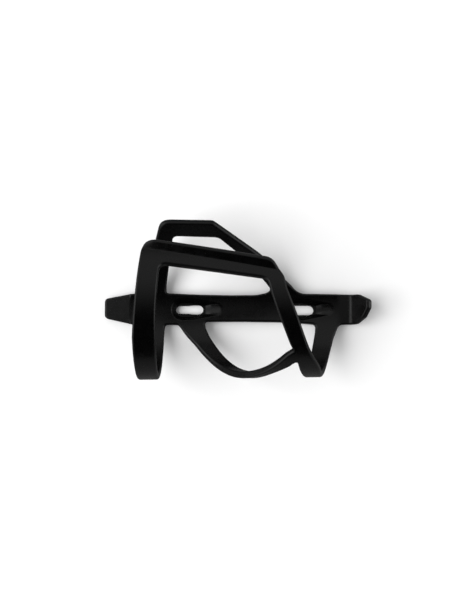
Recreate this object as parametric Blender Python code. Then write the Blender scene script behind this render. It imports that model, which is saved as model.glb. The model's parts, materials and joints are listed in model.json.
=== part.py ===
"""A side-entry bottle cage, lying on its mounting back.

+X runs along the bottle from its neck to its base, +Y towards the open wing, +Z up through the
bottle. The origin is the point midway between the two bolt slots, on the flat mounting back.
Run it with blender --background --python part.py, or from Blender's text editor.
"""

from math import cos, pi, radians, sin, tan

import bmesh
import bpy
from mathutils import Vector

# Driving dimensions, in metres and degrees.
MM = 0.001
WALL = 3.75 * MM  # thickness of every strip that wraps the bottle
BORE_RADIUS = 36.75 * MM  # inner radius of the strips at the neck end, for a 73.5 mm bottle
NECK_X = -52 * MM  # where BORE_RADIUS is measured
DRAFT = 0.016  # how much the bore radius falls for each metre towards the foot
SEAT_Z = 7.0 * MM  # lowest line of the bottle's seat above the mounting face
EDGE = 0.8 * MM  # chamfer on the strips' edges
GAP = 0.4 * MM  # between neighbouring members
LIP_CUTS = 3  # facets in the lip's turn
CUT_STEP = 7.0  # degrees between the cross cuts that let a strip follow the bottle
FINEST = 0.02 * MM  # points nearer than this become one
ROOT_Y = 9.6 * MM  # the strips leave the spine at this distance from its centre line

SLOT_SPACING = 64 * MM
SLOT_LENGTH = 14.8 * MM
SLOT_WIDTH = 6.0 * MM
RECESS_WIDTH = 12.4 * MM
RECESS_LENGTH = 22.0 * MM
RECESS_FLOOR = 3.6 * MM
TROUGH_WIDTH = 5.6 * MM
TROUGH_REACH = 18.5 * MM  # from a slot's centre to where its tool trough fades out

LIP_ANGLE = radians(50)  # how far the rail's free edge turns out from the bottle
LIP_BEND = 2.6 * MM  # middle radius of that turn
LIP_WIDTH = 7.0 * MM  # from the start of the turn to the free edge
WING_START = radians(50)  # where the wing leaves the bottle and runs on straight

TAB_THICKNESS = 4.2 * MM
FOOT_ANGLE = radians(60)
FOOT_BEND = 5.5 * MM
FOOT_THICKNESS = 3.6 * MM
FOOT_BEND_X = 57.5 * MM

FLAT_RADIUS = BORE_RADIUS + WALL / 2  # one degree round the bottle is this radius's arc when flat

for old in list(bpy.data.objects):
    bpy.data.objects.remove(old, do_unlink=True)

cage = bpy.data.collections.new("bottle_cage")
cutters = bpy.data.collections.new("cutters")
bpy.context.scene.collection.children.link(cage)
bpy.context.scene.collection.children.link(cutters)
cutters.hide_render = True


def plastic(name, colour, roughness):
    material = bpy.data.materials.new(name)
    material.use_nodes = True
    shader = material.node_tree.nodes["Principled BSDF"]
    shader.inputs["Base Color"].default_value = (*colour, 1)
    shader.inputs["Roughness"].default_value = roughness
    shader.inputs["Metallic"].default_value = 0
    return material


BLACK = plastic("black_reinforced_plastic", (0.012, 0.012, 0.013), 0.38)


def arc_of(angle):
    """Length on the flat pattern of an angle, in degrees, round the bottle."""
    return FLAT_RADIUS * radians(angle)


def bore(x):
    """Inner radius of the strips at x."""
    return BORE_RADIUS - DRAFT * (x - NECK_X)


def crease(x):
    """Where the front rail's lip starts to turn out, as a length on the flat pattern."""
    return arc_of(205.0 - 270.0 * x)


def rounded(corners, steps=4):
    """Outline from (x, y, radius) corners: each corner becomes an arc."""
    points = []
    count = len(corners)
    for index, (x, y, radius) in enumerate(corners):
        here = Vector((x, y))
        before = Vector(corners[index - 1][:2]) - here
        after = Vector(corners[(index + 1) % count][:2]) - here
        half = before.angle(after) / 2
        if radius == 0 or half > radians(89):
            points.append(here)
            continue
        reach = min(radius / tan(half), 0.49 * before.length, 0.49 * after.length)
        start = here + before.normalized() * reach
        end = here + after.normalized() * reach
        for step in range(steps + 1):
            t = step / steps
            points.append(start * (1 - t) ** 2 + here * 2 * t * (1 - t) + end * t**2)
    return points


def mesh_of(curve_object):
    """A mesh object with the curve's welded solid, in place of the curve."""
    graph = bpy.context.evaluated_depsgraph_get()
    mesh = bpy.data.meshes.new_from_object(curve_object.evaluated_get(graph))
    built = bmesh.new()
    built.from_mesh(mesh)
    bmesh.ops.remove_doubles(built, verts=built.verts, dist=1e-6)
    built.to_mesh(mesh)
    built.free()
    solid = bpy.data.objects.new(curve_object.name, mesh)
    solid.matrix_world = curve_object.matrix_world
    name = curve_object.name
    for collection in curve_object.users_collection:
        collection.objects.link(solid)
    bpy.data.objects.remove(curve_object, do_unlink=True)
    solid.name = name
    return solid


def plate(name, outline, thickness, edge, collection):
    """Flat plate with the given outline, centred on z = 0, with chamfered edges."""
    curve = bpy.data.curves.new(name, "CURVE")
    curve.dimensions = "2D"
    curve.fill_mode = "BOTH"
    curve.extrude = thickness / 2 - edge
    curve.bevel_depth = edge
    curve.bevel_resolution = 0
    curve.offset = -edge
    spline = curve.splines.new("POLY")
    spline.points.add(len(outline) - 1)
    for point, place in zip(spline.points, outline):
        point.co = (place[0], place[1], 0, 1)
    spline.use_cyclic_u = True
    flat = bpy.data.objects.new(name, curve)
    collection.objects.link(flat)
    bpy.context.view_layer.update()
    return mesh_of(flat)


def cut_across(built, place, normal):
    everything = built.verts[:] + built.edges[:] + built.faces[:]
    bmesh.ops.bisect_plane(built, geom=everything, dist=1e-7, plane_co=place, plane_no=normal)


def trim(built, place, normal):
    """Removes what lies in front of a plane and closes the cut."""
    everything = built.verts[:] + built.edges[:] + built.faces[:]
    result = bmesh.ops.bisect_plane(
        built, geom=everything, dist=1e-7, plane_co=place, plane_no=normal, clear_outer=True
    )
    rim = [item for item in result["geom_cut"] if isinstance(item, bmesh.types.BMEdge)]
    bmesh.ops.holes_fill(built, edges=rim, sides=0)


def round_bottle(x, along, out):
    """Place on the front side: `along` is the flat length from the spine's centre line."""
    middle = bore(x) + WALL / 2
    axis_z = SEAT_Z + bore(x)
    past = max(along - crease(x), 0)
    angle = (along - past) / FLAT_RADIUS
    turned = min(past / LIP_BEND, LIP_ANGLE)
    straight = past - turned * LIP_BEND
    tangent = Vector((0, -cos(angle), sin(angle)))
    normal = Vector((0, -sin(angle), -cos(angle)))
    run = tangent * cos(turned) + normal * sin(turned)
    face = normal * cos(turned) - tangent * sin(turned)
    bend = tangent * LIP_BEND * sin(turned) + normal * LIP_BEND * (1 - cos(turned))
    return Vector((x, 0, axis_z)) + normal * middle + bend + run * straight + face * out


def round_wing(x, along, out):
    """Place on the wing side, which runs on straight after WING_START."""
    middle = bore(x) + WALL / 2
    axis_z = SEAT_Z + bore(x)
    angle = min(along / FLAT_RADIUS, WING_START)
    past = max(along - FLAT_RADIUS * WING_START, 0)
    tangent = Vector((0, cos(angle), sin(angle)))
    normal = Vector((0, sin(angle), -cos(angle)))
    return Vector((x, 0, axis_z)) + normal * (middle + out) + tangent * past


def finish(solid, sharp=radians(35)):
    solid.data.materials.clear()
    solid.data.materials.append(BLACK)
    solid.data.shade_smooth()
    solid.data.set_sharp_from_angle(angle=sharp)


def close(built, solid):
    """Hands the wrapped mesh back to its object, with its faces pointing out."""
    bmesh.ops.remove_doubles(built, verts=built.verts, dist=FINEST)
    bmesh.ops.dissolve_degenerate(built, dist=FINEST, edges=built.edges)
    bmesh.ops.triangulate(built, faces=[face for face in built.faces if len(face.verts) > 4])
    bmesh.ops.recalc_face_normals(built, faces=built.faces)
    if built.calc_volume(signed=True) < 0:
        bmesh.ops.reverse_faces(built, faces=built.faces)
    built.to_mesh(solid.data)
    built.free()
    finish(solid)


def strip(name, corners, wrap, side, rooted=False, lip=False):
    """A strip cut from the flat pattern and wrapped round the bottle."""
    solid = plate(name, rounded(corners), WALL, EDGE, cage)
    built = bmesh.new()
    built.from_mesh(solid.data)
    if lip:
        first = Vector((0, crease(0), 0))
        run = Vector((MM, crease(MM), 0)) - first
        for step in range(LIP_CUTS + 1):
            rise = Vector((0, LIP_BEND * LIP_ANGLE * step / LIP_CUTS, 0))
            cut_across(built, first + rise, Vector((-run.y, run.x, 0)))
    lengths = [vert.co.y for vert in built.verts]
    step = arc_of(CUT_STEP)
    level = step * (min(lengths) // step + 1)
    while level < max(lengths):
        cut_across(built, Vector((0, level, 0)), Vector((0, 1, 0)))
        level += step
    for vert in built.verts:
        vert.co = wrap(*vert.co)
    if rooted:
        trim(built, Vector((0, side * ROOT_Y, 0)), Vector((0, -side, 0)))
    close(built, solid)
    return solid


def front(name, corners, rooted=False, lip=False):
    """Strip of the front frame: corners are (x in mm, degrees round the bottle, radius in mm)."""
    flat = [(x * MM, arc_of(angle), radius * MM) for x, angle, radius in corners]
    return strip(name, flat, round_bottle, -1, rooted, lip)


def wing(name, corners, rooted=False):
    """Strip of the wing: corners are (x in mm, length from the centre line in mm, radius)."""
    flat = [(x * MM, along * MM, radius * MM) for x, along, radius in corners]
    return strip(name, flat, round_wing, 1, rooted)


def smooth_edge(points, steps=5):
    """Points along a smooth edge through a few given ones, as corners without a radius."""
    ends = [2 * Vector(points[0]) - Vector(points[1])]
    chain = ends + [Vector(point) for point in points]
    chain.append(2 * Vector(points[-1]) - Vector(points[-2]))
    edge = []
    for before, start, end, after in zip(chain, chain[1:], chain[2:], chain[3:]):
        for step in range(steps):
            t = step / steps
            place = (
                2 * start
                + (end - before) * t
                + (2 * before - 5 * start + 4 * end - after) * t**2
                + (3 * start - before - 3 * end + after) * t**3
            ) / 2
            edge.append((place.x, place.y, 0))
    edge.append((*points[-1], 0))
    return edge


# The front frame: a loop over the bottle, with a brace across its side.
BAND_SPLIT = 96  # degrees round the bottle
RAIL_SPLIT = 194
DIAGONAL_TOP_SPLIT = 186
DIAGONAL_SPLIT = 112
GAP_ANGLE = GAP / FLAT_RADIUS * 180 / pi
ROOT_ANGLE = 12
BAND_LEFT = -57.6
BAND_RIGHT = -46.0


def band_lower():
    front(
        "wrap_band_lower",
        [
            (BAND_LEFT, ROOT_ANGLE, 0),
            (BAND_RIGHT + 2.5, ROOT_ANGLE, 0),
            (BAND_RIGHT, 18, 3),
            (BAND_RIGHT, BAND_SPLIT, 0),
            (BAND_LEFT, BAND_SPLIT, 0),
        ],
        rooted=True,
    )


def band_upper():
    front(
        "wrap_band_upper",
        [
            (BAND_LEFT, BAND_SPLIT + GAP_ANGLE, 0),
            (BAND_RIGHT, BAND_SPLIT + GAP_ANGLE, 0),
            (BAND_RIGHT, 165, 8),
            (-44.7, RAIL_SPLIT, 0),
            (-55.2, RAIL_SPLIT, 0),
            (BAND_LEFT, 155, 8),
        ],
    )


def front_rail():
    low = RAIL_SPLIT + GAP_ANGLE
    right_low = DIAGONAL_TOP_SPLIT + GAP_ANGLE
    lip_rise = LIP_WIDTH / MM / (FLAT_RADIUS / MM) * 180 / pi
    front(
        "front_rail",
        [
            (-55.2, low, 0),
            (-44.6, low, 0),
            (-44.2, 206.5, 4),
            (9.7, 194.7, 4),
            (10.9, right_low, 0),
            (20.6, right_low, 0),
            (19.0, 196.0, 6),
            (12.4, 201.6 + lip_rise, 8),
            (-52.9, 219.2 + lip_rise, 6.5),
        ],
        lip=True,
    )


def diagonal_band():
    front(
        "diagonal_band",
        [
            (10.9, DIAGONAL_TOP_SPLIT, 0),
            (21.8, 138, 0),
            (24.6, 125, 0),
            (28.2, DIAGONAL_SPLIT, 0),
            (38.7, DIAGONAL_SPLIT, 0),
            (30.8, 139, 12),
            (20.6, DIAGONAL_TOP_SPLIT, 0),
        ],
    )


def side_strut():
    right = smooth_edge([(38.7, DIAGONAL_SPLIT - GAP_ANGLE), (43.3, 73), (47.2, 46), (50.8, 26)])
    left = smooth_edge([(40.4, 21), (37.8, 43), (33.8, 74), (28.2, DIAGONAL_SPLIT - GAP_ANGLE)])
    root = [(54.8, ROOT_ANGLE, 0), (40.0, ROOT_ANGLE, 0)]
    front("side_strut", right + root + left, rooted=True)


def side_brace():
    foot_edge = smooth_edge([(-21.0, 23.5), (-12.5, 48), (-1.1, 78), (10.5, 104), (24.2, 125)])
    neck_edge = smooth_edge([(21.4, 137), (8.6, 109), (-3.5, 90.5), (-16.0, 67), (-29.5, 33)])
    root = [(-39.8, ROOT_ANGLE, 0), (-18.0, ROOT_ANGLE, 0)]
    front("side_brace", foot_edge + neck_edge + root, rooted=True)


# The wing: a narrow frame that stands out from the spine's other edge.
LEG_SPLIT = 44.0
WING_DIAGONAL_SPLIT = 41.0
SPLIT_GAP = GAP / MM


def wing_leg():
    wing(
        "wing_leg",
        [
            (-57.5, 8.5, 0),
            (-43.0, 8.5, 0),
            (-45.3, 12.5, 3),
            (-41.3, LEG_SPLIT, 0),
            (-50.3, LEG_SPLIT, 0),
            (-55.5, 14, 5),
        ],
        rooted=True,
    )


def wing_rail():
    wing(
        "wing_rail",
        [
            (-50.2, LEG_SPLIT + SPLIT_GAP, 0),
            (-41.3, LEG_SPLIT + SPLIT_GAP, 0),
            (-40.8, 49.1, 3),
            (-15.9, 48.5, 5),
            (-8.2, WING_DIAGONAL_SPLIT + SPLIT_GAP, 0),
            (1.6, WING_DIAGONAL_SPLIT + SPLIT_GAP, 0),
            (-18.0, 59.1, 4),
            (-46.6, 59.4, 6.5),
        ],
    )


def wing_diagonal():
    wing(
        "wing_diagonal",
        [
            (-7.8, WING_DIAGONAL_SPLIT, 0),
            (16.5, 15.0, 3),
            (8.5, 8.5, 0),
            (34.0, 8.5, 0),
            (27.5, 13.0, 5),
            (1.9, WING_DIAGONAL_SPLIT, 0),
        ],
        rooted=True,
    )


# The spine, with its two slots, and the tab and foot at its ends.
def cutter(name, outline, low, high):
    """Upright prism between two heights."""
    solid = plate(name, outline, high - low, 0, cutters)
    solid.location.z = (low + high) / 2
    solid.hide_render = True
    solid.display_type = "WIRE"
    return solid


def cut(target, tool):
    modifier = target.modifiers.new(tool.name, "BOOLEAN")
    modifier.operation = "DIFFERENCE"
    modifier.object = tool


def stadium(centre_x, length, width, steps=9):
    """Slot outline with round ends."""
    points = []
    for side, turn in ((1, -pi / 2), (-1, pi / 2)):
        middle = centre_x + side * (length - width) / 2
        for step in range(steps + 1):
            angle = turn + pi * step / steps
            points.append((middle + width / 2 * cos(angle), width / 2 * sin(angle)))
    return points


def bottle_cutter():
    """The drafted bore, which hollows the spine's inner face."""
    ends = (-90 * MM, 90 * MM)
    bpy.ops.mesh.primitive_cone_add(
        vertices=96, radius1=bore(ends[0]), radius2=bore(ends[1]), depth=ends[1] - ends[0]
    )
    tool = bpy.context.object
    tool.name = "bore_cutter"
    for vert in tool.data.vertices:
        x = vert.co.z
        vert.co = (x, vert.co.y, SEAT_Z + bore(x) + vert.co.x)
    for collection in tool.users_collection:
        collection.objects.unlink(tool)
    cutters.objects.link(tool)
    built = bmesh.new()
    built.from_mesh(tool.data)
    bmesh.ops.recalc_face_normals(built, faces=built.faces)
    built.to_mesh(tool.data)
    built.free()
    tool.hide_render = True
    tool.display_type = "WIRE"
    return tool


def trough_cutter(name, centre_x):
    """Wedge over a slot that fades out towards the foot, room for a tool."""
    length = TROUGH_REACH + 2 * MM
    bpy.ops.mesh.primitive_cube_add(size=1)
    tool = bpy.context.object
    tool.name = name
    rise = (SEAT_Z - RECESS_FLOOR) * 1.15
    for vert in tool.data.vertices:
        x = centre_x + (vert.co.x + 0.5) * length
        low = RECESS_FLOOR + rise * (vert.co.x + 0.5)
        vert.co = (x, vert.co.y * TROUGH_WIDTH, low if vert.co.z < 0 else 12 * MM)
    for collection in tool.users_collection:
        collection.objects.unlink(tool)
    cutters.objects.link(tool)
    tool.hide_render = True
    tool.display_type = "WIRE"
    return tool


def spine_plate():
    upper = [(-57.6, 9.1), (-40, 9.0), (-20, 8.3), (0, 8.0), (20, 8.3), (40, 9.0), (56.5, 9.1)]
    corners = [(x * MM, y * MM, 0) for x, y in upper]
    lower = [(x, -y, 0) for x, y, _ in reversed(corners)]
    top = SEAT_Z + 1.4 * MM
    spine = plate("spine_plate", rounded(corners + lower), top, 0, cage)
    spine.location.z = top / 2
    bpy.context.view_layer.update()
    cut(spine, bottle_cutter())
    for side, label in ((-1, "neck"), (1, "foot")):
        centre = side * SLOT_SPACING / 2
        slot = stadium(centre, SLOT_LENGTH, SLOT_WIDTH)
        recess = stadium(centre, RECESS_LENGTH, RECESS_WIDTH)
        cut(spine, cutter(label + "_recess", recess, RECESS_FLOOR, 12 * MM))
        cut(spine, cutter(label + "_slot", slot, -2 * MM, 12 * MM))
        cut(spine, trough_cutter(label + "_trough", centre))
    finish(spine)


def neck_tab():
    """Tapered tab that carries on from the spine towards the bottle's neck."""
    high = SEAT_Z - 0.4 * MM
    corners = [(-58.0, -8.8, 0), (-58.0, 8.8, 0), (-66, 8.5, 6), (-81.2, 5.8, 2.5), (-81.2, -5.2, 2.5)]
    corners.append((-66, -8.5, 6))
    outline = rounded([(x * MM, y * MM, radius * MM) for x, y, radius in corners])
    tab = plate("neck_tab", outline, high, 0.6 * MM, cage)
    for vert in tab.data.vertices:
        along = min(max((-62 * MM - vert.co.x) / (19 * MM), 0), 1)
        thickness = high + (TAB_THICKNESS - high) * along
        vert.co.z = (vert.co.z + high / 2) * thickness / high
    finish(tab)


def over_bend(along, across, out):
    """Place on the foot, which runs level and then bends up."""
    level = SEAT_Z - FOOT_THICKNESS / 2
    turned = min(max((along - FOOT_BEND_X) / FOOT_BEND, 0), FOOT_ANGLE)
    past = max(along - FOOT_BEND_X - FOOT_BEND * FOOT_ANGLE, 0)
    start = min(along, FOOT_BEND_X)
    x = start + (FOOT_BEND - out) * sin(turned) + past * cos(turned)
    z = level + FOOT_BEND - (FOOT_BEND - out) * cos(turned) + past * sin(turned)
    return Vector((x, across, z))


def bottle_stop():
    """Foot that the bottle's base rests against."""
    root = 56.5 * MM + GAP
    bend_end = FOOT_BEND_X + FOOT_BEND * FOOT_ANGLE
    tip = bend_end + 14.5 * MM
    corners = [
        (root, -8.8, 0),
        (bend_end + 2 * MM, -8.8, 6),
        (tip - 4.5 * MM, -5.8, 3),
        (tip, -0.5, 2),
        (tip, 4.8, 2),
        (bend_end + 4 * MM, 8.8, 5),
        (root, 8.8, 0),
    ]
    outline = rounded([(x, y * MM, radius * MM) for x, y, radius in corners])
    foot = plate("bottle_stop", outline, FOOT_THICKNESS, EDGE, cage)
    built = bmesh.new()
    built.from_mesh(foot.data)
    for step in range(7):
        cut_across(
            built, Vector((FOOT_BEND_X + FOOT_BEND * FOOT_ANGLE * step / 6, 0, 0)), Vector((1, 0, 0))
        )
    for vert in built.verts:
        vert.co = over_bend(*vert.co)
    close(built, foot)


spine_plate()
neck_tab()
bottle_stop()
band_lower()
band_upper()
front_rail()
diagonal_band()
side_strut()
side_brace()
wing_leg()
wing_rail()
wing_diagonal()
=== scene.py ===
"""Looks of the side-entry bottle cage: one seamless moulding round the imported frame.

The moulding is drawn flat, as an outline with windows, and wrapped round the bottle. x runs
along the bottle and v round it: v is 0 on the spine's centre line, positive on the wing's side
and negative on the front frame's side. Sizes here are in millimetres, and places round the
bottle are in degrees from the spine.
"""

import json
from math import cos, pi, radians, sin, tan

import bmesh
import bpy
import numpy as np
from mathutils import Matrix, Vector
from mathutils.geometry import delaunay_2d_cdt


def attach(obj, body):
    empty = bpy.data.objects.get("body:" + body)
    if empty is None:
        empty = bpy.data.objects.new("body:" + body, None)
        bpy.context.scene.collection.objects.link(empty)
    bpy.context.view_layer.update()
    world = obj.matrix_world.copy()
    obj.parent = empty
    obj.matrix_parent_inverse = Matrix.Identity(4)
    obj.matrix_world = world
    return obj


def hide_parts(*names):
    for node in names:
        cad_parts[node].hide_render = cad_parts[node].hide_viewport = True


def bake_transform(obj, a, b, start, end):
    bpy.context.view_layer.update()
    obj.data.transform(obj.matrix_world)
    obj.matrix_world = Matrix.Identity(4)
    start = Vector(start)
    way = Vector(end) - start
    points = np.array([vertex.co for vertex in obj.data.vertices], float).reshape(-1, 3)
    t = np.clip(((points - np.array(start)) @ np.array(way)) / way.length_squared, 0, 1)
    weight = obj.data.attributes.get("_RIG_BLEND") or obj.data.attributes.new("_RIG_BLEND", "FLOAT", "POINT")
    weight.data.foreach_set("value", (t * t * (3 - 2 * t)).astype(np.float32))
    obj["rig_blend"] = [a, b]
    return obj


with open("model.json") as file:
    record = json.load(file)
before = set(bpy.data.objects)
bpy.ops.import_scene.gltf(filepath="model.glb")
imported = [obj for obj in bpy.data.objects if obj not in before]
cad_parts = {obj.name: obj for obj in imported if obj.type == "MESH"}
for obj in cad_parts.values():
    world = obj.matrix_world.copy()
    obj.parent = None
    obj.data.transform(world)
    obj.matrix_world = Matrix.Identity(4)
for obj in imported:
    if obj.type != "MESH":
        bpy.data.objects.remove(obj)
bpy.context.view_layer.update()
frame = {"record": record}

MM = 0.001

# The bottle's surface and the strips that wrap it.
WALL = 3.75
BORE_RADIUS = 36.75  # at NECK_X
NECK_X = -52.0
DRAFT = 0.016  # how much the bore's radius falls for each millimetre towards the foot
SEAT_Z = 7.0  # lowest line of the bottle's seat above the mounting back
FLAT_RADIUS = BORE_RADIUS + WALL / 2  # a degree round the bottle is this radius's arc when flat
WING_START = radians(50)  # where the wing leaves the bottle and runs on straight
GUSSET = (9.8, 15.5)  # v between which a strip's root thins from the spine's depth to WALL
ROOT_Y = 10.4  # the frames' meshes part from the spine's at this distance from its centre line
ROOT_TOP = 25.0  # nothing above this height belongs to a root

# The lip that turns out along the rail's free edge.
CREASE = 205.0  # where round the bottle the turn starts, at x = 0
CREASE_LEAN = 0.27  # how far that falls for each millimetre of x
LIP_ANGLE = radians(50)
LIP_BEND = 2.5
LIP_WIDTH = 7.0
LIP_FROM = -60.0  # the lip turns out of the round corner between these two x
LIP_FULL = -47.0

# The two slots and the tear-shaped pockets round them. Distances along a pocket are from its
# slot's centre towards the foot.
SLOT_SPACING = 64.0
SLOT_LENGTH = 14.8
SLOTS = (  # x, y, half width, and the neck end's half width and extra length
    (-SLOT_SPACING / 2, 0.0, 2.85, 2.5, 1.0),
    (SLOT_SPACING / 2, -0.25, 3.05, 3.05, 0.0),
)
SLOT_WAIST = (1.5, -1.0)  # along the slot, where its two widths end
SLOT_ARC_STEP = 12  # degrees between the points on a slot's round ends
POCKET_RADIUS = 6.3
POCKET_FLOOR = 3.5
POCKET_SLOPE = tan(radians(58))
POCKET_MARGIN = 3.4  # from the slot's neck end to the pocket's rim
POCKET_BLEND = 0.5  # rounding of the rim and of the foot of the walls
POCKET_REACH = 30.0  # nothing further along than this belongs to the pocket
TAPER_START = 1.0  # where along the slot the pocket starts to narrow to the ramp's width
RAMP_HALF = 2.8
RAMP_HOLLOW = 5.0  # radius of the ramp's rounded floor, as a trough
RAMP_START = 1.3  # how far past the slot's end the ramp leaves the pocket's floor
RAMP_REACH = 11.2  # how far past the slot's end the ramp meets the seat
RAMP_OVERRUN = 1.5  # how far the ramp runs on above the seat, as a share of its rise
HOLLOW_SHARE = 3  # the trough is full once this times the ramp's share of its rise reaches 1

# The tab at the neck end and the foot that turns up at the other.
TAB_STEP_X = -66.4
TAB_STEP_LENGTH = 1.4
TAB_HIGH = 7.5
TAB_LOW = 4.3
TAB_END_X = -81.7
FOOT_ANGLE = radians(60)
FOOT_BEND = 5.5
FOOT_BEND_X = 57.9
FOOT_THICKNESS = 3.6
FOOT_PAST_BEND = 13.8
FOOT_FLAT = (51.5, 4.0)  # x where the seat starts to flatten into the foot, and over what length
FOOT_THINNED = (50.0, 7.0)  # the same for the back, which rises to the foot's thickness

# How finely the flat pattern is meshed.
EDGE_RADIUS = 1.25
SLOT_EDGE = 0.35
EDGE_ROWS = 4
COARSE = 1.35
COARSE_GAP = 0.62 * COARSE  # least distance from an edge's points
FINE = 0.5
FINE_GAP = 0.3
FINE_BOX = ((-69, -9), (60, 9))
FINE_SHIFT = 4.0  # the fine grid round a pocket is centred this far towards the foot
FINE_HALF = (16.0, 7.6)
FINE_STEP = 1.6  # half width of the fine grid over the tab's step
ROW_SPACING = 0.866  # between the rows of a triangular grid, for a spacing of 1
OUTLINE_SPACING = 1.1
CORNER_STEP = radians(11)
MITER_LEAST = 0.6  # keeps the inner row of a sharp corner from running away

# Colours and light.
PLASTIC_DARK = (0.0002, 0.0002, 0.00021, 1)
PLASTIC_LIGHT = (0.0007, 0.0007, 0.00074, 1)
# Lighter colour mixed in along the rounded edges: a painted edge highlight.
PLASTIC_PAINTED_HIGHLIGHT = (0.003, 0.003, 0.0031, 1)
FLOOR_WHITE = (0.92, 0.92, 0.92, 1)
FLOOR_REFLECTED = (0.13, 0.13, 0.13, 1)
FLOOR_HALF = 3.0
KEY_PLACE = (-0.58, -0.10, 0.70)


def smooth(t):
    t = np.clip(t, 0, 1)
    return t * t * (3 - 2 * t)


def soft_min(a, b, width):
    """The lesser of two, with the crossing rounded over about that width."""
    near = np.clip(0.5 + 0.5 * (b - a) / width, 0, 1)
    return b * (1 - near) + a * near - width * near * (1 - near)


def soft_max(a, b, width):
    return -soft_min(-a, -b, width)


def bore(x):
    return BORE_RADIUS - DRAFT * (x - NECK_X)


def arc(angle):
    return FLAT_RADIUS * radians(angle)


def bottle(x, v):
    """Middle of a strip's thickness at (x, v), and the direction away from the bottle."""
    zero = np.zeros_like(x)
    middle = bore(x) + WALL / 2
    front = v < 0
    along = np.abs(v)
    crease = FLAT_RADIUS * np.radians(CREASE - CREASE_LEAN * x)
    bend_from = np.where(front, crease, FLAT_RADIUS * WING_START)
    past = np.maximum(along - bend_from, 0)
    angle = (along - past) / FLAT_RADIUS
    side = np.where(front, -1.0, 1.0)
    tangent = np.stack([zero, side * np.cos(angle), np.sin(angle)], 1)
    normal = np.stack([zero, side * np.sin(angle), -np.cos(angle)], 1)
    lip_angle = LIP_ANGLE * smooth((x - LIP_FROM) / (LIP_FULL - LIP_FROM))
    turned = np.where(front, np.minimum(past / LIP_BEND, lip_angle), 0)
    straight = past - turned * LIP_BEND
    cosine, sine = np.cos(turned)[:, None], np.sin(turned)[:, None]
    run = tangent * cosine + normal * sine
    away = normal * cosine - tangent * sine
    place = np.stack([x, zero, SEAT_Z + bore(x)], 1) + normal * middle[:, None]
    place += (tangent * sine + normal * (1 - cosine)) * LIP_BEND + run * straight[:, None]
    return place, away


def pocket(x, y, seat):
    """Height of the seat with the two bolt pockets and their tool ramps sunk into it."""
    slot_end = SLOT_LENGTH / 2
    round_x = POCKET_RADIUS - slot_end - POCKET_MARGIN
    for centre in (-SLOT_SPACING / 2, SLOT_SPACING / 2):
        along = x - centre
        taper = np.clip((along - TAPER_START) / (slot_end + RAMP_REACH - TAPER_START), 0, 1)
        half = POCKET_RADIUS + (RAMP_HALF - POCKET_RADIUS) * taper
        from_rim = np.where(
            along < round_x, POCKET_RADIUS - np.hypot(along - round_x, y), half - np.abs(y)
        )
        past_slot = along - slot_end
        rise = np.clip((past_slot - RAMP_START) / (RAMP_REACH - RAMP_START), 0, RAMP_OVERRUN)
        hollow = np.minimum(y**2, RAMP_HALF**2) / (2 * RAMP_HOLLOW)
        hollow = hollow * np.minimum(rise * HOLLOW_SHARE, 1)
        floor_z = POCKET_FLOOR + (SEAT_Z - POCKET_FLOOR) * rise + hollow
        sunk = soft_max(seat - from_rim * POCKET_SLOPE, floor_z, POCKET_BLEND)
        seat = np.where(np.abs(along) < POCKET_REACH, soft_min(seat, sunk, POCKET_BLEND), seat)
    return seat


def bend_foot(place):
    """The foot runs on from the spine and turns up to meet the bottle's base."""
    level = SEAT_Z - FOOT_THICKNESS / 2
    along = np.maximum(place[:, 0] - FOOT_BEND_X, 0)
    turned = np.minimum(along / FOOT_BEND, FOOT_ANGLE)
    past = along - turned * FOOT_BEND
    radius = FOOT_BEND - (place[:, 2] - level)
    bent = place.copy()
    bent[:, 0] = FOOT_BEND_X + radius * np.sin(turned) + past * np.cos(turned)
    bent[:, 2] = level + FOOT_BEND - radius * np.cos(turned) + past * np.sin(turned)
    return np.where(along[:, None] > 0, bent, place)


def faces_at(x, v):
    """(inner place, vector through the thickness) on the moulding before the foot is bent."""
    middle, away = bottle(x, v)
    inner = middle - away * WALL / 2
    on_spine = 1 - smooth((np.abs(v) - GUSSET[0]) / (GUSSET[1] - GUSSET[0]))
    spine = np.abs(v) < GUSSET[0]
    seat = pocket(x, inner[:, 1], inner[:, 2])
    along_tab = np.clip((TAB_STEP_X - x) / (TAB_STEP_X - TAB_END_X), 0, 1)
    tab = TAB_HIGH + (TAB_LOW - TAB_HIGH) * along_tab
    seat = seat + (tab - seat) * smooth((TAB_STEP_X - x) / TAB_STEP_LENGTH + 0.5)
    seat = seat + (SEAT_Z - seat) * smooth((x - FOOT_FLAT[0]) / FOOT_FLAT[1])
    inner[:, 2] = np.where(spine, seat, inner[:, 2])
    back = (SEAT_Z - FOOT_THICKNESS) * smooth((x - FOOT_THINNED[0]) / FOOT_THINNED[1])
    down = np.stack([x * 0, x * 0, back - inner[:, 2]], 1)
    through = down * on_spine[:, None] + away * WALL * (1 - on_spine)[:, None]
    return inner, through


def surface(x, v, depth, from_back=False):
    """Place at a depth below the inner face, or above the back."""
    inner, through = faces_at(x, v)
    thickness = np.linalg.norm(through, axis=1)
    share = np.where(from_back, 1 - depth / thickness, depth / thickness)
    return bend_foot(inner + through * share[:, None])


def slopes(x, v, depth, from_back):
    """How the place moves with x and with v."""
    step = 0.05
    along_x = surface(x + step, v, depth, from_back) - surface(x - step, v, depth, from_back)
    along_v = surface(x, v + step, depth, from_back) - surface(x, v - step, depth, from_back)
    return along_x / (2 * step), along_v / (2 * step)


def unit(vectors):
    return vectors / np.maximum(np.linalg.norm(vectors, axis=1), 1e-12)[:, None]


def outwards(x, v, depth, from_back, probe):
    """From a little deeper in the material to the place itself."""
    return surface(x, v, depth, from_back) - surface(x, v, depth + probe, from_back)


def face_normal(x, v, from_back):
    on_face = np.zeros_like(x)
    along_x, along_v = slopes(x, v, on_face, from_back)
    normal = unit(np.cross(along_x, along_v))
    outward = outwards(x, v, on_face, from_back, probe=0.2)
    return normal * np.sign((normal * outward).sum(1))[:, None]


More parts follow.
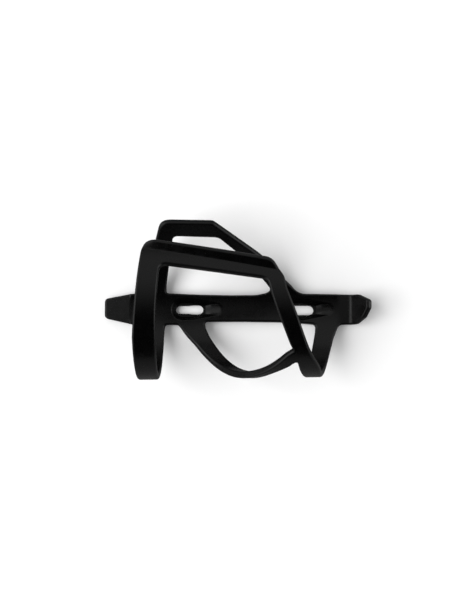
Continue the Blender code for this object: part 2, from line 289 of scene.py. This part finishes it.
# Outlines on the flat pattern.
def front(x, angle):
    """A point on the front frame, given by its angle round the bottle."""
    return (x, -arc(angle))


def seat_edge(x, y):
    """A point near the spine, given by its real distance from the centre line."""
    return (x, FLAT_RADIUS * np.arcsin(y / BORE_RADIUS))


def corner(place, radius):
    return (place[0], place[1], radius)


def through_points(points, steps=6):
    """Corners without a radius along a smooth edge through a few points."""
    chain = [2 * np.array(points[0]) - np.array(points[1])]
    chain += [np.array(point) for point in points]
    chain.append(2 * chain[-1] - chain[-2])
    edge = []
    for before, start, end, after in zip(chain, chain[1:], chain[2:], chain[3:]):
        for step in range(steps):
            t = step / steps
            place = (
                2 * start
                + (end - before) * t
                + (2 * before - 5 * start + 4 * end - after) * t**2
                + (3 * start - before - 3 * end + after) * t**3
            ) / 2
            edge.append((place[0], place[1], 0))
    edge.append((*points[-1], 0))
    return edge


def loop_of(corners):
    """Closed outline with its corners rounded and its sides divided evenly."""
    points = []
    count = len(corners)
    for index, (x, y, radius) in enumerate(corners):
        here = np.array([x, y])
        before = np.array(corners[index - 1][:2]) - here
        after = np.array(corners[(index + 1) % count][:2]) - here
        before_length, after_length = np.linalg.norm(before), np.linalg.norm(after)
        cosine = np.clip(before @ after / (before_length * after_length), -1, 1)
        half = np.arccos(cosine) / 2
        if radius == 0 or half > radians(89):
            points.append(here)
            continue
        reach = min(radius / tan(half), 0.48 * before_length, 0.48 * after_length)
        start = here + before / before_length * reach
        end = here + after / after_length * reach
        steps = max(4, int((pi - 2 * half) / CORNER_STEP))
        for step in range(steps + 1):
            t = step / steps
            points.append(start * (1 - t) ** 2 + here * 2 * t * (1 - t) + end * t**2)
    filled = []
    for start, end in zip(points, points[1:] + points[:1]):
        length = np.linalg.norm(end - start)
        if length < 0.05:
            continue
        parts = max(1, round(length / OUTLINE_SPACING))
        filled += [start + (end - start) * part / parts for part in range(parts)]
    return np.array(filled)


def outer_loop():
    """Round the whole cage: the front frame's neck band, rail and strut, the foot, the wing."""
    lip = LIP_WIDTH / radians(1) / FLAT_RADIUS
    tip = FOOT_BEND_X + FOOT_BEND * FOOT_ANGLE + FOOT_PAST_BEND
    corners = [
        corner(seat_edge(TAB_END_X, -4.9), 3.2),
        corner(seat_edge(-66.0, -8.4), 8),
        corner(seat_edge(-58.0, -9.1), 2.5),
        corner(front(-58.0, 150), 40),
        corner(front(-53.5, 219.2 + lip), 7.5),
        corner(front(12.0, 201.6 + lip), 7.5),
        corner(front(18.1, 196.5), 9),
    ]
    corners += through_points(
        [front(19.5, 187), front(25.1, 165), front(30.8, 140), front(37.5, 114), front(39.7, 93)]
        + [front(42.6, 73), front(46.8, 46), front(50.3, 26)]
    )
    corners += [
        corner(seat_edge(53.7, -9.2), 4),
        corner(seat_edge(65.5, -9.1), 7),
        corner(seat_edge(tip - 4.5, -5.6), 3.5),
        corner(seat_edge(tip, -0.1), 2.2),
        corner(seat_edge(tip, 4.8), 2.2),
        corner(seat_edge(67.5, 8.8), 5),
        corner(seat_edge(57.5, 9.15), 8),
        corner(seat_edge(31.0, 9.4), 9),
        corner((22.4, 18.2), 40),
        corner((8.2, 35.4), 60),
        corner((-13.2, 54.8), 14),
        corner((-18.4, 59.4), 3.5),
        corner((-47.2, 59.5), 7),
        corner((-50.9, 44.0), 25),
        corner((-55.0, 14.0), 8),
        corner(seat_edge(-58.6, 9.0), 3),
        corner(seat_edge(-66.0, 8.9), 8),
        corner(seat_edge(TAB_END_X, 6.2), 2.6),
    ]
    return loop_of(corners)


def front_window():
    """Between the neck band, the rail, the diagonal and the brace."""
    corners = [
        corner(seat_edge(-46.8, -8.9), 1.9),
        corner(front(-46.9, 88), 40),
        corner(front(-46.5, 125), 40),
        corner(front(-45.8, 172), 30),
        corner(front(-44.4, 206.6), 4.2),
        corner(front(9.6, 194.9), 4.6),
    ]
    corners += through_points(
        [front(11.5, 183), front(14.5, 170), front(18.1, 156), front(20.9, 144.5)]
    )
    corners += [corner(front(22.8, 137.8), 1.0)]
    corners += through_points(
        [front(19.3, 133), front(7.9, 110), front(-2.5, 91), front(-8.1, 79), front(-13.5, 67)]
        + [front(-21.2, 50), front(-28.8, 33)]
    )
    corners += [corner(seat_edge(-39.2, -8.85), 2.2)]
    return loop_of(corners)


def side_window():
    """Between the brace and the strut."""
    corners = [corner(seat_edge(-23.9, -7.1), 3.6)]
    corners += through_points(
        [front(-22.9, 18), front(-20.0, 27), front(-12.2, 48), front(0.1, 78), front(11.4, 104)]
        + [front(21.5, 119.5)]
    )
    corners += [corner(front(25.2, 126.5), 2.2)]
    corners += through_points(
        [front(26.9, 114), front(33.1, 74), front(36.9, 43), front(39.3, 24)]
    )
    corners += [
        corner(seat_edge(40.7, -8.9), 2.5),
        corner(seat_edge(33.0, -8.3), 20),
        corner(seat_edge(18.0, -7.4), 60),
        corner(seat_edge(-3.0, -7.1), 60),
    ]
    return loop_of(corners)


def wing_window():
    corners = [
        corner(seat_edge(-46.3, 9.3), 2.1),
        corner(seat_edge(-26.0, 8.55), 60),
        corner(seat_edge(-8.0, 8.3), 60),
        corner(seat_edge(6.0, 8.5), 20),
        corner(seat_edge(12.2, 9.8), 6),
        corner((14.5, 12.4), 2.6),
        corner((-5.8, 38.5), 60),
        corner((-15.7, 48.8), 5.5),
        corner((-40.6, 49.3), 3.6),
    ]
    return loop_of(corners)


def slot_loop(x, y, half, neck_half, neck_length):
    """A slot whose neck-end half may be narrower and longer than its foot-end half."""
    foot_end = x + SLOT_LENGTH / 2 - half
    neck_end = x - SLOT_LENGTH / 2 + neck_half - neck_length
    waist = tuple(zip(SLOT_WAIST, (half, neck_half)))
    points = []
    for end, radius, turn, side in ((foot_end, half, -90, 1), (neck_end, neck_half, 90, -1)):
        for angle in np.radians(np.arange(turn, turn + 181, SLOT_ARC_STEP)):
            points.append([end + radius * cos(angle), y + radius * sin(angle)])
        points += [[x + along, y + side * width] for along, width in waist[::side]]
    return np.array(points)


# The flat pattern's mesh, and the moulding folded from it.
def signed_area(loop):
    x, y = loop[:, 0], loop[:, 1]
    return (x * np.roll(y, -1) - np.roll(x, -1) * y).sum() / 2


def outward(loop):
    """Directions out of the material, which lies on the loop's left: (unit, mitered)."""
    ahead = np.roll(loop, -1, 0) - loop
    behind = loop - np.roll(loop, 1, 0)
    ahead /= np.linalg.norm(ahead, axis=1)[:, None]
    behind /= np.linalg.norm(behind, axis=1)[:, None]
    right = np.stack([ahead[:, 1] + behind[:, 1], -ahead[:, 0] - behind[:, 0]], 1)
    right /= np.linalg.norm(right, axis=1)[:, None]
    across = (right * np.stack([ahead[:, 1], -ahead[:, 0]], 1)).sum(1)
    return right, right / np.maximum(across, MITER_LEAST)[:, None]


def inside(points, loop):
    """Which points lie inside a closed loop."""
    x, y = points[:, 0][:, None], points[:, 1][:, None]
    x0, y0 = loop[:, 0], loop[:, 1]
    x1, y1 = np.roll(x0, -1), np.roll(y0, -1)
    crosses = (y0 > y) != (y1 > y)
    with np.errstate(divide="ignore", invalid="ignore"):
        at = x0 + (y - y0) * (x1 - x0) / (y1 - y0)
    return ((crosses & (x < at)).sum(1) % 2).astype(bool)


def in_material(points, loops):
    """Which points lie inside the first loop and outside the others, which are its holes."""
    within = inside(points, loops[0])
    for hole in loops[1:]:
        within &= ~inside(points, hole)
    return within


def clear_of(points, edge_points, distance):
    """Which points are further than that from every edge point, found in batches."""
    batch = 2000
    kept = np.ones(len(points), bool)
    for start in range(0, len(points), batch):
        part = points[start : start + batch]
        gaps = np.linalg.norm(part[:, None] - edge_points[None], axis=2).min(1)
        kept[start : start + batch] = gaps > distance
    return kept


def grid(low, high, spacing):
    """Points of a triangular grid over a rectangle."""
    rows = np.arange(low[1], high[1], spacing * ROW_SPACING)
    points = []
    for index, y in enumerate(rows):
        xs = np.arange(low[0] + spacing / 2 * (index % 2), high[0], spacing)
        points.append(np.stack([xs, np.full_like(xs, y)], 1))
    return np.concatenate(points)


def fine_parts(points):
    """Which flat points get the fine grid: the pockets with their ramps, and the tab's step."""
    along = np.abs(np.abs(points[:, 0] - FINE_SHIFT) - SLOT_SPACING / 2)
    in_pocket = (np.abs(points[:, 1]) < FINE_HALF[1]) & (along < FINE_HALF[0])
    return in_pocket | (np.abs(points[:, 0] - TAB_STEP_X) < FINE_STEP)


def flat_mesh(loops):
    """Triangles over the flat pattern inside the loops' inner rows: (points, triangles)."""
    edge_points = np.concatenate(loops)
    coarse = grid(edge_points.min(0), edge_points.max(0), COARSE)
    fine = grid(*FINE_BOX, FINE)
    coarse = coarse[~fine_parts(coarse)]
    fine = fine[fine_parts(fine)]
    chosen = []
    for points, gap in ((coarse, COARSE_GAP), (fine, FINE_GAP)):
        points = points[in_material(points, loops)]
        chosen.append(points[clear_of(points, edge_points, gap)])
    points = np.concatenate([edge_points] + chosen)
    edges, start = [], 0
    for loop in loops:
        edges += [(start + i, start + (i + 1) % len(loop)) for i in range(len(loop))]
        start += len(loop)
    result = delaunay_2d_cdt([Vector(point) for point in points], edges, [], 0, 1e-5)
    places = np.array([tuple(point) for point in result[0]])
    triangles = np.array(result[2])
    return places, triangles[in_material(places[triangles].mean(1), loops)]


def outlines():
    """Every outline with its edge's radius, running with the material on its left."""
    loops = [(outer_loop(), EDGE_RADIUS), (front_window(), EDGE_RADIUS)]
    loops += [(side_window(), EDGE_RADIUS), (wing_window(), EDGE_RADIUS)]
    loops += [(slot_loop(*slot), SLOT_EDGE) for slot in SLOTS]
    turned = []
    for index, (loop, radius) in enumerate(loops):
        wanted = 1 if index == 0 else -1
        turned.append((loop if signed_area(loop) * wanted > 0 else loop[::-1], radius))
    return turned


def edge_row(loop, radius, angle, from_back):
    """One row of a rounded edge: (places, normals, flat places). At 90 degrees it's the face."""
    straight_out, miter = outward(loop)
    along = np.stack([-straight_out[:, 1], straight_out[:, 0]], 1)
    at = loop - miter * radius * (1 - cos(angle))
    x, v = at[:, 0], at[:, 1]
    depth = np.full(len(loop), radius * (1 - sin(angle)))
    along_x, along_v = slopes(x, v, depth, from_back)
    edge_run = along_x * along[:, :1] + along_v * along[:, 1:]
    out = along_x * straight_out[:, :1] + along_v * straight_out[:, 1:]
    side = unit(np.cross(edge_run, outwards(x, v, depth, from_back, probe=0.1)))
    side *= np.sign((side * out).sum(1))[:, None]
    normals = unit(side * cos(angle) + face_normal(x, v, from_back) * sin(angle))
    return surface(x, v, depth, from_back), normals, at


def moulding():
    """Vertices, normals, flat places, painted edge highlight and faces of the whole cage."""
    loops = outlines()
    insets = [loop - outward(loop)[1] * radius for loop, radius in loops]
    flat, triangles = flat_mesh(insets)
    x, v, zeros = flat[:, 0], flat[:, 1], np.zeros(len(flat))
    places = [surface(x, v, zeros), surface(x, v, zeros, True)]
    normals = [face_normal(x, v, False), face_normal(x, v, True)]
    flats = [flat, flat]
    highlight_share = [zeros, zeros]

    first, second, third = places[0][triangles[0]]
    if np.cross(second - first, third - first) @ normals[0][triangles[0][0]] < 0:
        triangles = triangles[:, ::-1]
    back = len(flat)  # the back's vertices follow the inner face's
    faces = [tuple(triangle) for triangle in triangles]
    faces += [tuple(triangle[::-1] + back) for triangle in triangles]

    total, start = 2 * len(flat), 0
    angles = np.linspace(0, pi / 2, EDGE_ROWS + 1)[:-1]
    steps = [(angle, False) for angle in angles[::-1]] + [(angle, True) for angle in angles]
    for loop, radius in loops:
        size = len(loop)
        ring = np.arange(start, start + size)
        rows = [ring]
        for angle, from_back in steps:
            row_places, row_normals, row_flats = edge_row(loop, radius, angle, from_back)
            places.append(row_places)
            normals.append(row_normals)
            flats.append(row_flats)
            # Painted edge highlight: some on every edge row, strongest halfway round the rounding.
            highlight_share.append(np.full(size, 0.35 + 0.65 * sin(2 * angle)))
            rows.append(np.arange(total, total + size))
            total += size
        rows.append(ring + back)
        for upper, lower in zip(rows, rows[1:]):
            for i in range(size):
                j = (i + 1) % size
                faces.append((upper[i], lower[i], lower[j], upper[j]))
        start += size
    places, normals = np.concatenate(places) * MM, np.concatenate(normals)
    flats, highlight_share = np.concatenate(flats), np.concatenate(highlight_share)
    return places, normals, flats, highlight_share, faces


def whole_cage():
    """The moulding as one bmesh, parted by planes at the roots of the front frame and wing."""
    places, normals, flats, highlight_share, faces = moulding()
    built = bmesh.new()
    normal_layer = built.verts.layers.float_vector.new("smooth_normal")
    # The painted edge highlight's share for each vertex, read by the material.
    highlight_layer = built.verts.layers.float.new("painted_edge_highlight")
    side_layer = built.verts.layers.float.new("side")
    for place, normal, flat, amount in zip(places, normals, flats, highlight_share):
        vert = built.verts.new(place)
        vert[normal_layer] = normal
        vert[highlight_layer] = amount
        vert[side_layer] = flat[1]
    built.verts.ensure_lookup_table()
    for face in faces:
        built.faces.new([built.verts[i] for i in face])
    for side in (-1, 1):
        low = [face for face in built.faces if face.calc_center_median().z < ROOT_TOP * MM]
        edges = {edge for face in low for edge in face.edges}
        verts = {vert for face in low for vert in face.verts}
        bmesh.ops.bisect_plane(
            built,
            geom=low + list(edges) + list(verts),
            dist=1e-7,
            plane_co=(0, side * ROOT_Y * MM, 0),
            plane_no=(0, 1, 0),
        )
    return built


def part_of(face, side_layer):
    """Name of the piece that a face belongs to."""
    middle = face.calc_center_median()
    if middle.z < ROOT_TOP * MM and abs(middle.y) < ROOT_Y * MM:
        return "moulded_spine"
    side = sum(vert[side_layer] for vert in face.verts)
    return "moulded_wing" if side > 0 else "moulded_front_frame"


def take_part(whole, name, material):
    """One object with the named part's faces, closed where it meets its neighbour."""
    built = whole.copy()
    side_layer = built.verts.layers.float["side"]
    others = [face for face in built.faces if part_of(face, side_layer) != name]
    bmesh.ops.delete(built, geom=others, context="FACES")
    own = len(built.faces)
    rims = [edge for edge in built.edges if edge.is_boundary]
    bmesh.ops.holes_fill(built, edges=rims, sides=0)
    built.faces.ensure_lookup_table()
    bmesh.ops.recalc_face_normals(built, faces=built.faces[own:])
    normal_layer = built.verts.layers.float_vector["smooth_normal"]
    normals = []
    for index, face in enumerate(built.faces):
        face.smooth = True
        face.normal_update()
        for vert in face.verts:
            is_cap = index >= own
            normals.append(face.normal.copy() if is_cap else vert[normal_layer].normalized())
    mesh = bpy.data.meshes.new(name)
    built.to_mesh(mesh)
    built.free()
    mesh.normals_split_custom_set(normals)
    mesh.materials.append(material)
    piece = bpy.data.objects.new(name, mesh)
    bpy.context.scene.collection.objects.link(piece)
    return piece


class Nodes:
    """A small helper that adds and links shader nodes."""

    def __init__(self, tree):
        self.tree = tree

    def add(self, kind, **settings):
        node = self.tree.nodes.new(kind)
        for name, value in settings.items():
            setattr(node, name, value)
        return node

    def link(self, source, target):
        self.tree.links.new(source, target)

    def noise(self, coordinates, scale, detail, roughness):
        node = self.add("ShaderNodeTexNoise")
        node.inputs["Scale"].default_value = scale
        node.inputs["Detail"].default_value = detail
        node.inputs["Roughness"].default_value = roughness
        self.link(coordinates, node.inputs["Vector"])
        return node.outputs["Fac"]

    def maths(self, operation, first, second):
        node = self.add("ShaderNodeMath", operation=operation)
        self.link(first, node.inputs[0])
        self.link(second, node.inputs[1])
        return node.outputs[0]

    def ranged(self, value, low, high, start=0.0, end=1.0):
        """Low to high as the value goes from start to end."""
        node = self.add("ShaderNodeMapRange")
        limits = {"From Min": start, "From Max": end, "To Min": low, "To Max": high}
        for name, number in limits.items():
            node.inputs[name].default_value = number
        self.link(value, node.inputs["Value"])
        return node.outputs["Result"]

    def mixed_shader(self, factor, first, second):
        node = self.add("ShaderNodeMixShader")
        self.link(factor, node.inputs[0])
        self.link(first.outputs[0], node.inputs[1])
        self.link(second.outputs[0], node.inputs[2])
        return node.outputs[0]


def black_plastic():
    """Satin black, fibre-filled plastic: faint mottling, a fine moulded grain, painted edge highlight."""
    material = bpy.data.materials.new("black_reinforced_plastic")
    material.use_nodes = True
    nodes = Nodes(material.node_tree)
    shader = material.node_tree.nodes["Principled BSDF"]
    shader.inputs["Metallic"].default_value = 0.0
    shader.inputs["IOR"].default_value = 1.5
    where = nodes.add("ShaderNodeTexCoord").outputs["Object"]
    mottle = nodes.noise(where, scale=260.0, detail=3.0, roughness=0.55)
    grain = nodes.noise(where, scale=3200.0, detail=2.0, roughness=0.6)
    fibre_map = nodes.add("ShaderNodeMapping")
    fibre_map.inputs["Scale"].default_value = (0.35, 1.0, 1.0)
    nodes.link(where, fibre_map.inputs["Vector"])
    fibres = nodes.noise(fibre_map.outputs["Vector"], scale=1500.0, detail=4.0, roughness=0.65)
    # Each edge row's share of the painted edge highlight. It lightens the colour and raises the roughness a
    # little.
    highlight_mask = nodes.add("ShaderNodeAttribute", attribute_name="painted_edge_highlight").outputs["Fac"]

    colour = nodes.add("ShaderNodeMix", data_type="RGBA")
    colour.inputs[6].default_value = PLASTIC_DARK
    colour.inputs[7].default_value = PLASTIC_LIGHT
    nodes.link(mottle, colour.inputs[0])
    # Mixes the painted edge highlight's lighter colour over the mottled black.
    highlight_colour = nodes.add("ShaderNodeMix", data_type="RGBA")
    highlight_colour.inputs[7].default_value = PLASTIC_PAINTED_HIGHLIGHT
    nodes.link(nodes.ranged(highlight_mask, low=0.0, high=0.6), highlight_colour.inputs[0])
    nodes.link(colour.outputs[2], highlight_colour.inputs[6])
    nodes.link(highlight_colour.outputs[2], shader.inputs["Base Color"])

    satin = nodes.ranged(mottle, low=0.23, high=0.32, start=0.3, end=0.7)
    roughness = nodes.maths("ADD", satin, nodes.ranged(highlight_mask, low=0.0, high=0.05))
    nodes.link(roughness, shader.inputs["Roughness"])

    bump = nodes.add("ShaderNodeBump")
    bump.inputs["Strength"].default_value = 0.15
    bump.inputs["Distance"].default_value = 0.00006
    nodes.link(nodes.maths("ADD", grain, fibres), bump.inputs["Height"])
    nodes.link(bump.outputs["Normal"], shader.inputs["Normal"])
    return material


def build_cage():
    """The three pieces, each in place of its body's CAD nodes."""
    material = black_plastic()
    whole = whole_cage()
    spine, front_frame, wing = (
        take_part(whole, name, material)
        for name in ("moulded_spine", "moulded_front_frame", "moulded_wing")
    )
    whole.free()
    bodies = frame["record"]["behaviour"]["bodies"]
    for piece, body in ((spine, "spine"), (front_frame, "front_frame"), (wing, "wing_frame")):
        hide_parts(*bodies[body])
    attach(spine, "spine")
    for piece, body in ((front_frame, "front_frame"), (wing, "wing_frame")):
        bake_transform(piece, "spine", body, start=(0, 0, 0.009), end=(0, 0, 0.030))


def floor():
    """Plain near-white floor, wide enough that no view sees its edge, and darker in the gloss."""
    built = bmesh.new()
    bmesh.ops.create_grid(built, x_segments=8, y_segments=8, size=FLOOR_HALF)
    mesh = bpy.data.meshes.new("floor")
    built.to_mesh(mesh)
    built.free()
    plane = bpy.data.objects.new("floor", mesh)
    bpy.context.scene.collection.objects.link(plane)
    material = bpy.data.materials.new("white_floor")
    material.use_nodes = True
    nodes = Nodes(material.node_tree)
    material.node_tree.nodes.remove(material.node_tree.nodes["Principled BSDF"])
    white, grey = nodes.add("ShaderNodeBsdfDiffuse"), nodes.add("ShaderNodeBsdfDiffuse")
    white.inputs["Color"].default_value = FLOOR_WHITE
    grey.inputs["Color"].default_value = FLOOR_REFLECTED
    glossy_ray = nodes.add("ShaderNodeLightPath").outputs["Is Glossy Ray"]
    mixed = nodes.mixed_shader(glossy_ray, white, grey)
    nodes.link(mixed, material.node_tree.nodes["Material Output"].inputs["Surface"])
    mesh.materials.append(material)


def reflected_sky(nodes):
    """Brightness of the sky in the gloss: graded from front to back, with a light either side."""
    direction = nodes.add("ShaderNodeTexCoord").outputs["Generated"]
    parts = nodes.add("ShaderNodeSeparateXYZ")
    nodes.link(direction, parts.inputs[0])
    back = nodes.ranged(parts.outputs["Y"], low=0.003, high=0.36, start=-0.3, end=0.5)
    high = nodes.ranged(parts.outputs["Z"], low=0.3, high=1.0, start=0.0, end=0.35)
    left = nodes.ranged(parts.outputs["X"], low=0.0, high=1.0, start=-0.52, end=-0.82)
    right = nodes.ranged(parts.outputs["X"], low=0.0, high=1.2, start=0.7, end=0.95)
    faded = nodes.maths("MULTIPLY", back, high)
    return nodes.maths("ADD", faded, nodes.maths("ADD", left, right))


def studio():
    """White surroundings for the floor, a graded sky that the gloss reflects, and a soft key."""
    world = bpy.data.worlds.new("studio")
    bpy.context.scene.world = world
    world.use_nodes = True
    nodes = Nodes(world.node_tree)
    background = world.node_tree.nodes["Background"]
    glossy = nodes.add("ShaderNodeBackground")
    for node in (background, glossy):
        node.inputs["Color"].default_value = (1, 1, 1, 1)
    path = nodes.add("ShaderNodeLightPath")
    seen = nodes.ranged(path.outputs["Is Camera Ray"], low=0.58, high=1.1)
    nodes.link(seen, background.inputs["Strength"])
    nodes.link(reflected_sky(nodes), glossy.inputs["Strength"])
    mixed = nodes.mixed_shader(path.outputs["Is Glossy Ray"], background, glossy)
    nodes.link(mixed, world.node_tree.nodes["World Output"].inputs["Surface"])

    lamp = bpy.data.lights.new("key_softbox", "SUN")
    lamp.angle = radians(44)
    lamp.energy = 2.6
    key = bpy.data.objects.new("key_softbox", lamp)
    key.visible_glossy = False
    key.location = KEY_PLACE
    key.rotation_euler = (-key.location).to_track_quat("-Z", "Y").to_euler()
    bpy.context.scene.collection.objects.link(key)


def camera():
    """The photograph's view: from above, leaning a little from the front frame's side."""
    data = bpy.data.cameras.new("camera")
    data.lens = 54.26
    data.clip_start = 0.01
    view = bpy.data.objects.new("camera", data)
    view.location = (-0.00905, -0.04125, 0.53737)
    view.rotation_euler = (0.0807, 0, 0.0011)
    bpy.context.scene.collection.objects.link(view)
    bpy.context.scene.camera = view


bpy.context.scene.view_settings.view_transform = "Standard"
camera()
studio()
floor()
build_cage()
